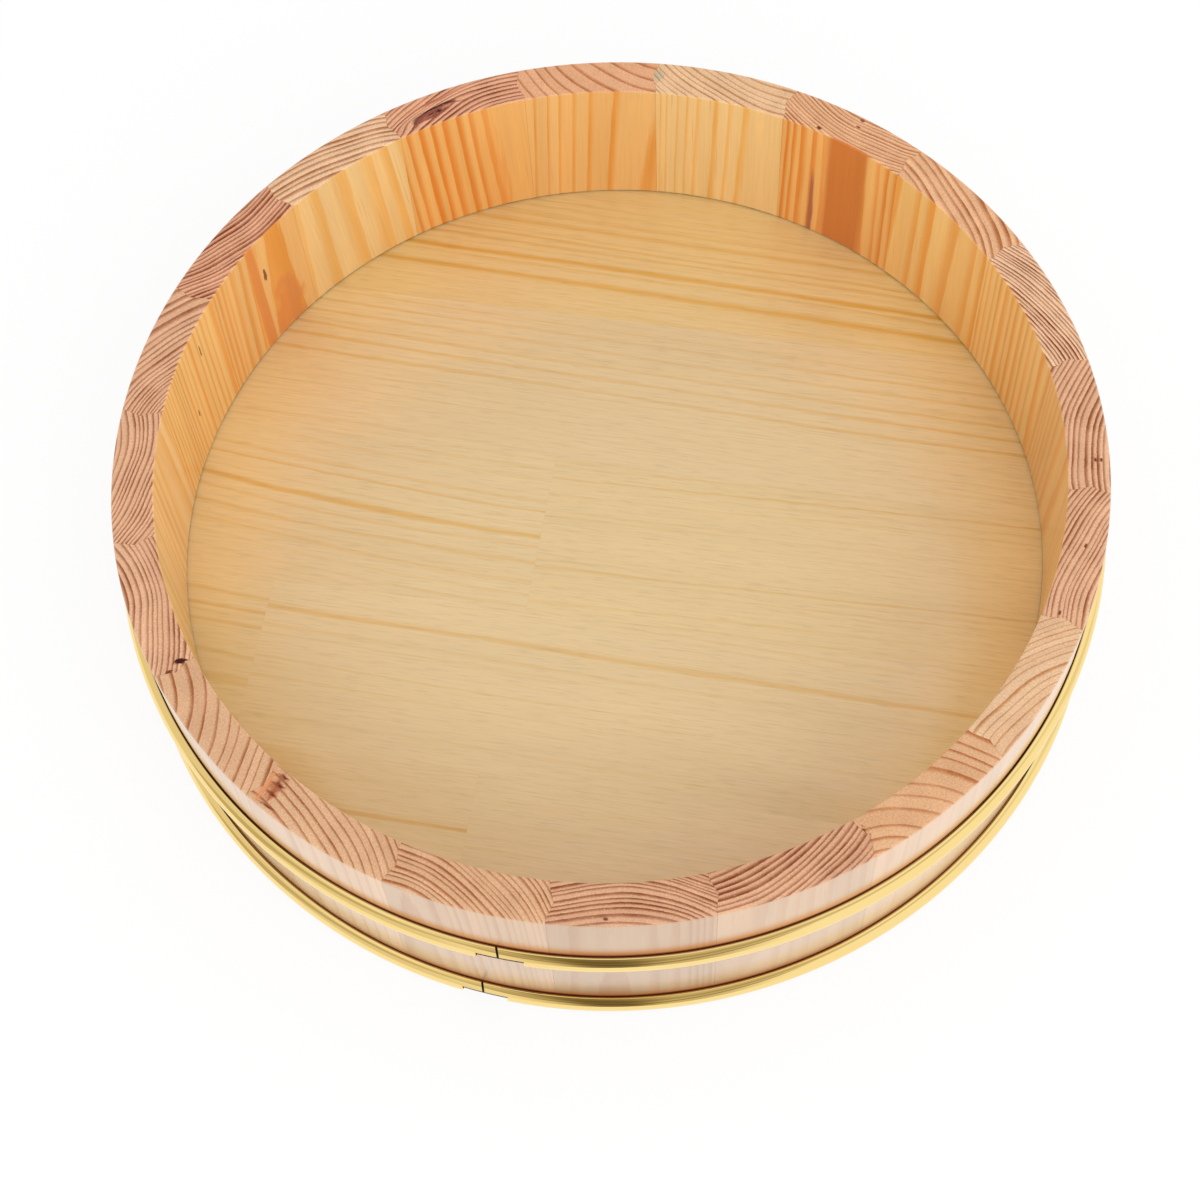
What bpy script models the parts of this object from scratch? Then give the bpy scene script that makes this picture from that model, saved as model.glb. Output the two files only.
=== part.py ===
"""A round wooden tub for dressing sushi rice: glued pine staves, a let-in bottom and two metal hoops.

Metres, +Z up. The origin is the middle of the ring that the tub stands on, and +X points to the right
of a person who faces the hoops' seams.
"""

import math

import bmesh
import bpy
from mathutils import Matrix, Vector

# Wall of staves
OUTER_DIAMETER = 0.330
HEIGHT = 0.080
WALL = 0.014
STAVE_COUNT = 20
FIRST_JOINT = math.radians(7.9)
FACETS_PER_STAVE = 6
EASED_EDGE = 0.0007
EASED_STEPS = 2
RED_STAVES = (1, 3, 6, 8, 16)
PALE_STAVES = (4, 7, 13, 18)

# V-shaped tongue and groove between the staves
TONGUE_HEIGHT = 0.0018
INNER_LAND = 0.0021
OUTER_LAND = 0.0014
GLUE_GAP = 0.0003

# Bottom board, glued up from strips and let into a groove in the staves
FOOT_HEIGHT = 0.010
BOTTOM_THICKNESS = 0.012
GROOVE_DEPTH = 0.005
GROOVE_CLEARANCE = 0.0003
GRAIN_ANGLE = math.radians(-12.7)
STRIP_WIDTH = 0.0624
PANEL_OFFSET = -0.0032
BOARD_FACETS = 120

# The length of the left-hand stick where a strip is two sticks, along the strip's middle
STICK_LENGTHS = {"middle": 0.1305, "front_inner": 0.026, "front_outer": 0.061}

# Half-round hollow hoops
HOOP_HEIGHT = 0.007
HOOP_PROJECTION = 0.0034
HOOP_SHEET = 0.0006
HOOP_LIP = 0.0013
HOOP_FIT = 0.0003
HOOP_FACETS = 90
HOOP_ARC_STEPS = 6
LOWER_HOOP_BASE = 0.0035
UPPER_HOOP_BASE = 0.0445
UPPER_SEAM = math.radians(254.0)
LOWER_SEAM = math.radians(251.3)
SEAM_GAP = 0.0008
NOTCH_LEFT = 0.006
NOTCH_RIGHT = 0.0095
NOTCH_TOP = 0.0054

# Bar inside each hoop, across the seam
SPLICE_LENGTH = 0.030
SPLICE_CLEARANCE = 0.0003
SPLICE_FACETS = 8

OUTER_RADIUS = OUTER_DIAMETER / 2
INNER_RADIUS = OUTER_RADIUS - WALL
STAVE_ANGLE = 2 * math.pi / STAVE_COUNT
BOTTOM_TOP = FOOT_HEIGHT + BOTTOM_THICKNESS
GROOVE_RADIUS = INNER_RADIUS + GROOVE_DEPTH
BOARD_RADIUS = GROOVE_RADIUS - GROOVE_CLEARANCE
HOOP_RADIUS = (OUTER_RADIUS + HOOP_FIT) / math.cos(math.pi / HOOP_FACETS)
CUTTER_MARGIN = 0.004
SHARP_ANGLE = math.radians(30)


def clear_scene():
    for thing in list(bpy.data.objects):
        bpy.data.objects.remove(thing)


def finish_material(name, colour, roughness, metallic=0.0):
    material = bpy.data.materials.new(name)
    material.use_nodes = True
    shader = material.node_tree.nodes["Principled BSDF"]
    shader.inputs["Base Color"].default_value = (*colour, 1.0)
    shader.inputs["Roughness"].default_value = roughness
    shader.inputs["Metallic"].default_value = metallic
    return material


def mesh_from(shape, name):
    """The bmesh as a mesh facing out, smooth over its round faces and sharp at its corners."""
    bmesh.ops.recalc_face_normals(shape, faces=shape.faces)
    if shape.calc_volume(signed=True) < 0:
        bmesh.ops.reverse_faces(shape, faces=shape.faces)
    mesh = bpy.data.meshes.new(name)
    shape.to_mesh(mesh)
    shape.free()
    mesh.shade_smooth()
    mesh.set_sharp_from_angle(angle=SHARP_ANGLE)
    return mesh


def add_piece(name, mesh, material):
    """An object with its own material, which leaves a shared mesh as it is."""
    if not mesh.materials:
        mesh.materials.append(None)
    piece = bpy.data.objects.new(name, mesh)
    bpy.context.collection.objects.link(piece)
    piece.material_slots[0].link = "OBJECT"
    piece.material_slots[0].material = material
    return piece


def add_guide(name, mesh):
    guide = bpy.data.objects.new(name, mesh)
    bpy.context.collection.objects.link(guide)
    guide.hide_render = True
    guide.display_type = "WIRE"
    return guide


def use_boolean(piece, guide, operation):
    modifier = piece.modifiers.new(guide.name, "BOOLEAN")
    modifier.operation = operation
    modifier.solver = "EXACT"
    modifier.object = guide


def polar(radius, angle, height=0.0):
    return Vector((radius * math.cos(angle), radius * math.sin(angle), height))


def arc(radius, start, end, steps):
    return [polar(radius, start + (end - start) * i / steps) for i in range(steps + 1)]


def loop_of(shape, points):
    return shape.faces.new([shape.verts.new(point) for point in points])


def turned_ring(name, section, facets):
    """A closed ring: the section's (radius, height) points, spun round +Z."""
    shape = bmesh.new()
    face = loop_of(shape, [Vector((radius, 0, height)) for radius, height in section])
    edges = list(face.edges)
    shape.faces.remove(face)
    bmesh.ops.spin(shape, geom=edges, axis=(0, 0, 1), angle=2 * math.pi, steps=facets, use_merge=True)
    return mesh_from(shape, name)


def joint_edge(angle, shift):
    """The plan of one glued edge from inside to outside: two lands and the V between them."""
    along = polar(1, angle)
    across = polar(1, angle + math.pi / 2)
    v_start = INNER_RADIUS + INNER_LAND
    v_end = OUTER_RADIUS - OUTER_LAND
    v_tip = (v_start + v_end) / 2
    stations = [(INNER_RADIUS, 0), (v_start, 0), (v_tip, TONGUE_HEIGHT), (v_end, 0), (OUTER_RADIUS, 0)]
    return [along * radius + across * (rise + shift) for radius, rise in stations]


def stave_mesh():
    """One stave about +X: a tongue on its left edge, a groove on its right edge, ends square."""
    half = STAVE_ANGLE / 2
    tongue = joint_edge(half, -GLUE_GAP / 2)
    groove = joint_edge(-half, GLUE_GAP / 2)
    plan = groove + arc(OUTER_RADIUS, -half, half, FACETS_PER_STAVE)[1:-1]
    plan += tongue[::-1] + arc(INNER_RADIUS, half, -half, FACETS_PER_STAVE)[1:-1]
    shape = bmesh.new()
    foot = loop_of(shape, plan)
    grown = bmesh.ops.extrude_face_region(shape, geom=[foot], use_keep_orig=True)
    rim = [part for part in grown["geom"] if isinstance(part, bmesh.types.BMVert)]
    bmesh.ops.translate(shape, verts=rim, vec=(0, 0, HEIGHT))
    bmesh.ops.recalc_face_normals(shape, faces=shape.faces)
    bmesh.ops.bevel(
        shape,
        geom=round_end_edges(shape),
        offset=EASED_EDGE,
        segments=EASED_STEPS,
        profile=0.5,
        affect="EDGES",
        material=-1,
    )
    return mesh_from(shape, "stave")


def round_end_edges(shape):
    """The edges at both ends of the stave that follow its inner and outer faces."""
    faces = (INNER_RADIUS, OUTER_RADIUS)
    near = EASED_EDGE / 2
    found = []
    for edge in shape.edges:
        radii = [corner.co.xy.length for corner in edge.verts]
        level = abs(edge.verts[0].co.z - edge.verts[1].co.z) < near
        if level and any(max(abs(r - face) for r in radii) < near for face in faces):
            found.append(edge)
    return found


def build_staves():
    golden = finish_material("golden_pine", (0.60, 0.34, 0.17), 0.42)
    red = finish_material("red_pine", (0.50, 0.25, 0.13), 0.42)
    pale = finish_material("pale_pine", (0.66, 0.42, 0.22), 0.42)
    tones = dict.fromkeys(RED_STAVES, red) | dict.fromkeys(PALE_STAVES, pale)
    section = [
        (GROOVE_RADIUS, BOTTOM_TOP + GROOVE_CLEARANCE),
        (GROOVE_RADIUS, FOOT_HEIGHT - GROOVE_CLEARANCE),
        (INNER_RADIUS - CUTTER_MARGIN, FOOT_HEIGHT - GROOVE_CLEARANCE),
        (INNER_RADIUS - CUTTER_MARGIN, BOTTOM_TOP + GROOVE_CLEARANCE),
    ]
    croze = add_guide("croze_cutter", turned_ring("croze_cutter", section, STAVE_COUNT * FACETS_PER_STAVE))
    croze.rotation_euler.z = FIRST_JOINT
    mesh = stave_mesh()
    for number in range(1, STAVE_COUNT + 1):
        stave = add_piece(f"stave_{number:02d}", mesh, tones.get(number, golden))
        stave.rotation_euler.z = FIRST_JOINT + (number - 0.5) * STAVE_ANGLE
        use_boolean(stave, croze, "DIFFERENCE")


def strip_edges():
    """Each strip's name with the two glue lines beside it, measured across the grain."""
    line = PANEL_OFFSET + STRIP_WIDTH / 2
    beyond = BOARD_RADIUS + CUTTER_MARGIN
    return {
        "front_outer": (-beyond, line - 2 * STRIP_WIDTH),
        "front_inner": (line - 2 * STRIP_WIDTH, line - STRIP_WIDTH),
        "middle": (line - STRIP_WIDTH, line),
        "back_inner": (line, line + STRIP_WIDTH),
        "back_outer": (line + STRIP_WIDTH, beyond),
    }


def stick_mesh(name, start, end, near, far):
    """A square-edged stick along +X, half a glue gap short of its lines all round."""
    half_gap = GLUE_GAP / 2
    size = Vector((end - start - 2 * half_gap, far - near - 2 * half_gap, BOTTOM_THICKNESS))
    middle = Vector(((start + end) / 2, (near + far) / 2, FOOT_HEIGHT + BOTTOM_THICKNESS / 2))
    shape = bmesh.new()
    bmesh.ops.create_cube(shape, size=1, matrix=Matrix.LocRotScale(middle, None, size))
    return mesh_from(shape, name)


def board_disc():
    """The round outline that the glued-up panel is cut to."""
    shape = bmesh.new()
    bmesh.ops.create_cone(
        shape,
        cap_ends=True,
        segments=BOARD_FACETS,
        radius1=BOARD_RADIUS,
        radius2=BOARD_RADIUS,
        depth=BOTTOM_THICKNESS + 2 * CUTTER_MARGIN,
        matrix=Matrix.Translation((0, 0, FOOT_HEIGHT + BOTTOM_THICKNESS / 2)),
    )
    return add_guide("board_disc", mesh_from(shape, "board_disc"))


def build_bottom():
    pine = finish_material("bottom_pine", (0.73, 0.51, 0.24), 0.45)
    disc = board_disc()
    beyond = BOARD_RADIUS + CUTTER_MARGIN
    for strip, (near, far) in strip_edges().items():
        sticks = {f"bottom_{strip}": (-beyond, beyond)}
        if strip in STICK_LENGTHS:
            middle = (max(near, -BOARD_RADIUS) + min(far, BOARD_RADIUS)) / 2
            joint = STICK_LENGTHS[strip] - math.sqrt(BOARD_RADIUS**2 - middle**2)
            sticks = {f"bottom_{strip}_left": (-beyond, joint), f"bottom_{strip}_right": (joint, beyond)}
        for name, (start, end) in sticks.items():
            stick = add_piece(name, stick_mesh(name, start, end, near, far), pine)
            stick.rotation_euler.z = GRAIN_ANGLE
            use_boolean(stick, disc, "INTERSECT")


def half_round(radius, projection, height):
    """(radius, height) points down a half-round face, from its top to its bottom."""
    points = []
    for i in range(HOOP_ARC_STEPS + 1):
        turn = math.pi / 2 - math.pi * i / HOOP_ARC_STEPS
        points.append((radius + projection * math.cos(turn), height / 2 * math.sin(turn)))
    return points


def hoop_section():
    """The open C of the rolled sheet, about the hoop's middle height."""
    sheet = HOOP_SHEET
    lip = HOOP_HEIGHT / 2 - HOOP_LIP
    section = half_round(HOOP_RADIUS, HOOP_PROJECTION, HOOP_HEIGHT)
    section += [(HOOP_RADIUS, -lip), (HOOP_RADIUS + sheet, -lip)]
    section += half_round(HOOP_RADIUS + sheet, HOOP_PROJECTION - 2 * sheet, HOOP_HEIGHT - 2 * sheet)[::-1]
    section += [(HOOP_RADIUS + sheet, lip), (HOOP_RADIUS, lip)]
    return section


def splice_section():
    """A solid half-round that slides inside the hoop's C."""
    room = HOOP_SHEET + SPLICE_CLEARANCE
    return half_round(HOOP_RADIUS + room, HOOP_PROJECTION - 2 * room, HOOP_HEIGHT - 2 * room)


def swept_bar(name, section, facets, angle):
    """A bar with the (radius, height) section, swept round +Z to both sides of +X, ends closed."""
    shape = bmesh.new()
    end = loop_of(shape, [Vector((radius, 0, height)) for radius, height in section])
    turn = Matrix.Rotation(-angle / 2, 3, "Z")
    bmesh.ops.rotate(shape, verts=shape.verts, cent=(0, 0, 0), matrix=turn)
    bmesh.ops.spin(shape, geom=[end], axis=(0, 0, 1), angle=angle, steps=facets)
    return mesh_from(shape, name)


def build_hoop(name, base, seam):
    gold = finish_material(f"{name}_gold", (0.83, 0.58, 0.20), 0.18, 1.0)
    steel = finish_material(f"{name}_splice_steel", (0.05, 0.045, 0.04), 0.45, 1.0)
    height = base + HOOP_HEIGHT / 2
    round_trip = 2 * math.pi - SEAM_GAP / HOOP_RADIUS
    hoop = add_piece(name, swept_bar(name, hoop_section(), HOOP_FACETS, round_trip), gold)
    hoop.location.z = height
    hoop.rotation_euler.z = seam + math.pi
    use_boolean(hoop, notch_guide(name, height, seam), "DIFFERENCE")

    splice_name = f"{name}_splice"
    bridge = SPLICE_LENGTH / HOOP_RADIUS
    splice = add_piece(splice_name, swept_bar(splice_name, splice_section(), SPLICE_FACETS, bridge), steel)
    splice.location.z = height
    splice.rotation_euler.z = seam


def notch_guide(name, height, seam):
    """A block that cuts the hoop's lower part away on both sides of the seam."""
    bottom = height - HOOP_HEIGHT / 2 - CUTTER_MARGIN
    top = height - HOOP_HEIGHT / 2 + NOTCH_TOP
    depth = HOOP_PROJECTION + 2 * CUTTER_MARGIN
    shape = bmesh.new()
    middle = Vector((OUTER_RADIUS + HOOP_PROJECTION / 2, (NOTCH_RIGHT - NOTCH_LEFT) / 2, (bottom + top) / 2))
    size = Vector((depth, NOTCH_LEFT + NOTCH_RIGHT, top - bottom))
    bmesh.ops.create_cube(shape, size=1, matrix=Matrix.LocRotScale(middle, None, size))
    guide = add_guide(f"{name}_notch", mesh_from(shape, f"{name}_notch"))
    guide.rotation_euler.z = seam
    return guide


clear_scene()
build_staves()
build_bottom()
build_hoop("lower_hoop", LOWER_HOOP_BASE, LOWER_SEAM)
build_hoop("upper_hoop", UPPER_HOOP_BASE, UPPER_SEAM)
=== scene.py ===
import math

import bmesh
import bpy
from mathutils import Matrix, Vector


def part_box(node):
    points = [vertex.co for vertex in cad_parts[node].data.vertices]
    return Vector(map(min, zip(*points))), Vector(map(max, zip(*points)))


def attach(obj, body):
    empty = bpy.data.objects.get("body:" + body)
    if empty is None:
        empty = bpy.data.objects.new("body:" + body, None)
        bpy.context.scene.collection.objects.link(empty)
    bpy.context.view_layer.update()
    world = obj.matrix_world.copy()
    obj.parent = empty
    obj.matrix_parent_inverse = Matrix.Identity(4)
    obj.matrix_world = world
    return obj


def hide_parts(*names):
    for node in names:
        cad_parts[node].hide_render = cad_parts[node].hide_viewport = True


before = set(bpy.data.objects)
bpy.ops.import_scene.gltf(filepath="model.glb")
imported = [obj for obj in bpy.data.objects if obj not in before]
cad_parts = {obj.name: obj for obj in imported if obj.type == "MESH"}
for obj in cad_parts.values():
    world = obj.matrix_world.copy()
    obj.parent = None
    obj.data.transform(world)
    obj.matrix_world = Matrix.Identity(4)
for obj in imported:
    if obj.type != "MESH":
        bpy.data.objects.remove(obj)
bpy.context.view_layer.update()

# Wall staves
# Twenty short pine boards stand on end round the tub, end grain up. Their edges are glued in a V tongue
# and groove, a groove near the foot takes the bottom, and the wall is turned round, sanded and varnished.
stave_count = 20
stave_angle = 2 * math.pi / stave_count
first_joint = math.radians(7.9)
stave_steps = 18
eased_edge = 0.0007
eased_steps = 4
tongue_height = 0.0018
inner_land = 0.0021
outer_land = 0.0014
hairline = 0.00005
croze_depth = 0.005
croze_clearance = 0.0003
same_place = 0.000002
sharp_angle = math.radians(32)


def radii(node):
    """The least and the greatest distance of a CAD node's corners from the tub's axis."""
    found = [corner.co.xy.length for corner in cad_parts[node].data.vertices]
    return min(found), max(found)


wall_inside, wall_outside = radii("stave_01")
wall_middle = (wall_inside + wall_outside) / 2
rim_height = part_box("stave_01")[1].z
board_foot, board_top = (corner.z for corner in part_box("bottom_back_inner"))
v_start = wall_inside + inner_land
v_end = wall_outside - outer_land
v_tip = (v_start + v_end) / 2


def polar(radius, angle, height=0.0):
    return Vector((radius * math.cos(angle), radius * math.sin(angle), height))


def tongue_rise(radius):
    """How far the glued edge stands out anticlockwise at a radius: a V between two flat lands."""
    share = 1 - abs(radius - v_tip) / (v_end - v_tip)
    return tongue_height * max(0.0, share)


def finished_mesh(shape, name):
    """The bmesh as a mesh with its faces out, smooth over round faces and sharp at corners."""
    bmesh.ops.recalc_face_normals(shape, faces=shape.faces)
    if shape.calc_volume(signed=True) < 0:
        bmesh.ops.reverse_faces(shape, faces=shape.faces)
    mesh = bpy.data.meshes.new(name)
    shape.to_mesh(mesh)
    shape.free()
    mesh.shade_smooth()
    mesh.set_sharp_from_angle(angle=sharp_angle)
    return mesh


def stand_in_for(node, name, mesh, material):
    """The finished piece in the scene, in the place of its CAD node."""
    piece = bpy.data.objects.new(name, mesh)
    bpy.context.collection.objects.link(piece)
    mesh.materials.append(material)
    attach(piece, "root")
    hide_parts(node)


def shape_glued_edge(shape, angle, inset):
    """Cuts the flat edge face at the V's three lines and pushes it out into the V."""
    along = polar(1, angle)
    across = polar(1, angle + math.pi / 2)

    def on_edge(corner):
        return abs(corner.co.dot(across)) < same_place

    for radius in (v_start, v_tip, v_end):
        faces = [face for face in shape.faces if all(on_edge(corner) for corner in face.verts)]
        edges = {edge for face in faces for edge in face.edges}
        corners = {corner for face in faces for corner in face.verts}
        cut = [*corners, *edges, *faces]
        bmesh.ops.bisect_plane(shape, geom=cut, dist=same_place, plane_co=along * radius, plane_no=along)
    for corner in [corner for corner in shape.verts if on_edge(corner)]:
        corner.co += across * (tongue_rise(corner.co.xy.length) + inset)


def stave_mesh(name, start):
    """A stave from its grooved edge at the start angle round to its tongued edge."""
    section = [(wall_inside, 0), (wall_outside, 0), (wall_outside, rim_height), (wall_inside, rim_height)]
    groove = [
        (wall_inside, board_top + croze_clearance),
        (wall_inside + croze_depth, board_top + croze_clearance),
        (wall_inside + croze_depth, board_foot - croze_clearance),
        (wall_inside, board_foot - croze_clearance),
    ]
    shape = bmesh.new()
    corners = [shape.verts.new((radius, 0, height)) for radius, height in section + groove]
    shape.faces.new(corners)
    bmesh.ops.bevel(
        shape,
        geom=corners[:4],
        offset=eased_edge,
        segments=eased_steps,
        profile=0.5,
        affect="VERTICES",
        material=-1,
    )
    bmesh.ops.rotate(shape, verts=shape.verts, cent=(0, 0, 0), matrix=Matrix.Rotation(start, 3, "Z"))
    bmesh.ops.spin(shape, geom=shape.faces[:], axis=(0, 0, 1), angle=stave_angle, steps=stave_steps)
    shape_glued_edge(shape, start, hairline / 2)
    shape_glued_edge(shape, start + stave_angle, -hairline / 2)
    return finished_mesh(shape, name)


def srgb(red, green, blue):
    """A colour as a picture shows it, 0 to 255, in the shader's own numbers."""
    shares = [value / 255 for value in (red, green, blue)]
    return (*[s / 12.92 if s <= 0.04045 else ((s + 0.055) / 1.055) ** 2.4 for s in shares], 1.0)


class Steps:
    """The few node steps that the pine, the metal and the studio are mixed from."""

    def __init__(self, tree):
        self.tree = tree

    def feed(self, socket, value):
        if isinstance(value, bpy.types.NodeSocket):
            self.tree.links.new(value, socket)
        else:
            socket.default_value = value

    def add(self, kind, inputs, **settings):
        node = self.tree.nodes.new(f"ShaderNode{kind}")
        for setting, value in settings.items():
            setattr(node, setting, value)
        for socket, value in inputs.items():
            self.feed(node.inputs[socket], value)
        return node

    def sum(self, operation, *values):
        return self.add("Math", dict(enumerate(values)), operation=operation).outputs[0]

    def vector(self, operation, *values):
        return self.add("VectorMath", dict(enumerate(values)), operation=operation).outputs["Vector"]

    def length(self, vector):
        return self.add("VectorMath", {0: vector}, operation="LENGTH").outputs["Value"]

    def ramp(self, value, start, end, low=0.0, high=1.0):
        inputs = {"Value": value, "From Min": start, "From Max": end, "To Min": low, "To Max": high}
        return self.add("MapRange", inputs, interpolation_type="SMOOTHSTEP").outputs["Result"]

    def mix(self, factor, first, second):
        inputs = {0: factor, 6: first, 7: second}
        return self.add("Mix", inputs, data_type="RGBA").outputs[2]

    def noise(self, vector, scale, detail=2.0, roughness=0.5):
        inputs = {"Vector": vector, "Scale": scale, "Detail": detail, "Roughness": roughness}
        return self.add("TexNoise", inputs).outputs["Fac"]

    def seen_from(self, vector, middle, turn=(0, 0, 0), size=(1, 1, 1)):
        """The place as measured from a middle, along turned axes and in units of a size."""
        inputs = {"Vector": vector, "Location": middle, "Rotation": turn, "Scale": size}
        return self.add("Mapping", inputs, vector_type="TEXTURE").outputs["Vector"]

    def shade(self, colour, factor):
        inputs = {0: colour, "Scale": factor}
        return self.add("VectorMath", inputs, operation="SCALE").outputs["Vector"]


class Finish(Steps):
    """A new material and its shader."""

    def __init__(self, name):
        self.material = bpy.data.materials.new(name)
        self.material.use_nodes = True
        super().__init__(self.material.node_tree)
        self.shader = self.tree.nodes["Principled BSDF"]

    def surface(self, inputs):
        for socket, value in inputs.items():
            self.feed(self.shader.inputs[socket], value)


millimetre = (0.001, 0.001, 0.001)
varnish_roughness = 0.22
varnish_ior = 1.6
grain_relief = 0.0002
rings_apart = 40
grain_apart = 90.0

# Early and late wood as the photograph shows them, in the end grain and on the faces
end_tones = {
    "pale": ((235, 193, 151), (182, 114, 54)),
    "sand": ((228, 187, 147), (188, 124, 66)),
    "cream": ((240, 198, 158), (168, 98, 44)),
    "rose": ((242, 199, 159), (138, 56, 16)),
    "golden": ((236, 184, 140), (176, 100, 48)),
    "peach": ((232, 173, 130), (176, 100, 46)),
    "clay": ((223, 173, 129), (180, 104, 48)),
    "tan": ((220, 174, 134), (162, 88, 36)),
    "pink": ((230, 179, 141), (148, 76, 34)),
    "russet": ((220, 168, 130), (136, 60, 16)),
    "red": ((234, 173, 135), (134, 56, 20)),
}
side_tones = {
    "straw": ((240, 203, 140), (237, 175, 80)),
    "wheat": ((246, 201, 126), (238, 156, 52)),
    "honey": ((238, 188, 118), (232, 152, 52)),
    "amber": ((241, 185, 108), (228, 132, 30)),
    "flax": ((250, 208, 146), (246, 176, 76)),
}
# Outer faces: the wood's tones lifted to pale by painted sheen, for the white the glossy varnish mirrors
outer_tones = (222, 186, 151), (210, 164, 126)


def board(pith, ring, narrowing, start, late, lean, end, side, tilt=0.6, outer=1.0, figure=1.0):
    """A board's place in its tree: the pith in mm anticlockwise and outwards from the stave's middle, the
    ring width there in mm, how the rings narrow away from the pith, where a ring starts, the share of late
    wood, the grain's lean along the wall and its tilt out of it in degrees, its tones at the ends and
    inside, and how light its outer face is and how strongly the rings show there."""
    return dict(
        pith=pith,
        ring=ring,
        narrowing=narrowing,
        start=start,
        late=late,
        lean=(math.radians(lean), math.radians(tilt), 0),
        end=end_tones[end],
        side=side_tones[side],
        outer=outer,
        figure=figure,
    )


# Front boards 12 to 17 have darker end tones, 14 to 16 darker outer faces: partly own tone, partly painted
# shade
boards = {
    1: board((-23, -72), ring=1.3, narrowing=1.5, start=0.6, late=0.46, lean=1, end="rose", side="wheat"),
    2: board(
        (35, -106), ring=3.0, narrowing=1.5, start=0.3, late=0.44, lean=-1, end="golden", side="wheat"
    ),
    3: board(
        (-6, 66), ring=1.5, narrowing=2.0, start=0.3, late=0.45, lean=0, end="golden", side="amber", tilt=0
    ),
    4: board((-27, 64), ring=2.4, narrowing=2.8, start=0.4, late=0.28, lean=0, end="pale", side="straw"),
    5: board((-38, 40), ring=4.6, narrowing=1.8, start=0.8, late=0.25, lean=2, end="peach", side="honey"),
    6: board(
        (-17, -60),
        ring=1.8,
        narrowing=1.0,
        start=0.1,
        late=0.44,
        lean=-2,
        end="red",
        side="amber",
        tilt=0.3,
    ),
    7: board((23, -92), ring=2.2, narrowing=1.0, start=0.5, late=0.48, lean=-5, end="cream", side="straw"),
    8: board((-21, 77), ring=1.5, narrowing=1.5, start=0.0, late=0.54, lean=1, end="red", side="honey"),
    9: board((38, -59), ring=2.0, narrowing=-1.6, start=0.6, late=0.44, lean=0, end="pink", side="wheat"),
    10: board((-17, 65), ring=1.6, narrowing=2.1, start=0.3, late=0.42, lean=-1, end="pink", side="flax"),
    11: board((-7, 65), ring=1.9, narrowing=2.5, start=0.0, late=0.44, lean=1, end="pink", side="straw"),
    12: board((-38, 39), ring=4.0, narrowing=1.8, start=0.7, late=0.24, lean=-2, end="tan", side="honey"),
    13: board((-30, 73), ring=2.7, narrowing=2.1, start=0.7, late=0.30, lean=0, end="tan", side="straw"),
    14: board(
        (-25, 50), ring=1.7, narrowing=1.5, start=0.2, late=0.38, lean=1, end="tan", side="honey", outer=0.85
    ),
    15: board(
        (-10, 70),
        ring=1.7,
        narrowing=3.5,
        start=0.7,
        late=0.46,
        lean=-1,
        end="russet",
        side="honey",
        outer=0.73,
    ),
    16: board(
        (-21, -74),
        ring=1.8,
        narrowing=1.5,
        start=0.1,
        late=0.48,
        lean=2,
        end="russet",
        side="amber",
        outer=0.84,
        figure=0.6,
    ),
    17: board(
        (-34, 26),
        ring=4.4,
        narrowing=1.2,
        start=0.6,
        late=0.26,
        lean=0,
        end="clay",
        side="honey",
        outer=0.96,
        figure=0.4,
    ),
    18: board(
        (-26, 61),
        ring=2.6,
        narrowing=3.0,
        start=0.5,
        late=0.26,
        lean=1,
        end="sand",
        side="straw",
        outer=1.02,
        figure=0.6,
    ),
    19: board((-24, 99), ring=1.6, narrowing=1.2, start=0.7, late=0.42, lean=-1, end="pink", side="honey"),
    20: board((-25, 74), ring=1.9, narrowing=1.2, start=0.8, late=0.46, lean=0, end="pink", side="honey"),
}

knot_black = (66, 18, 12)
knot_brown = (146, 80, 62)
knot_pale = (200, 130, 92)
knot_rust = (172, 98, 70)
red_streak = (190, 104, 74)
speck_brown = (126, 62, 34)
resin_orange = (224, 138, 62)
heart_orange = (208, 118, 42)
streak_orange = (230, 146, 62)
glue_rust = (176, 98, 56)
glue_brown = (120, 48, 18)
glue_orange = (222, 144, 94)
stain_grey = (150, 148, 122)
canal_brown = (206, 134, 66)
canal_pale = (244, 212, 180)


def mark(left, out, wide, deep, colour, turn=0, down=0, tall=6, ragged=0.3, soft=0.7, rings=0.0, lift=0.0):
    """A blemish in a board: its middle and half sizes in mm, and how it sits among the growth rings."""
    return dict(
        middle=(out, left, -down),
        turn=(0, 0, math.radians(turn)),
        size=(deep, wide, tall),
        colour=colour,
        ragged=ragged,
        soft=soft,
        rings=rings,
        lift=lift,
    )


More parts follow.
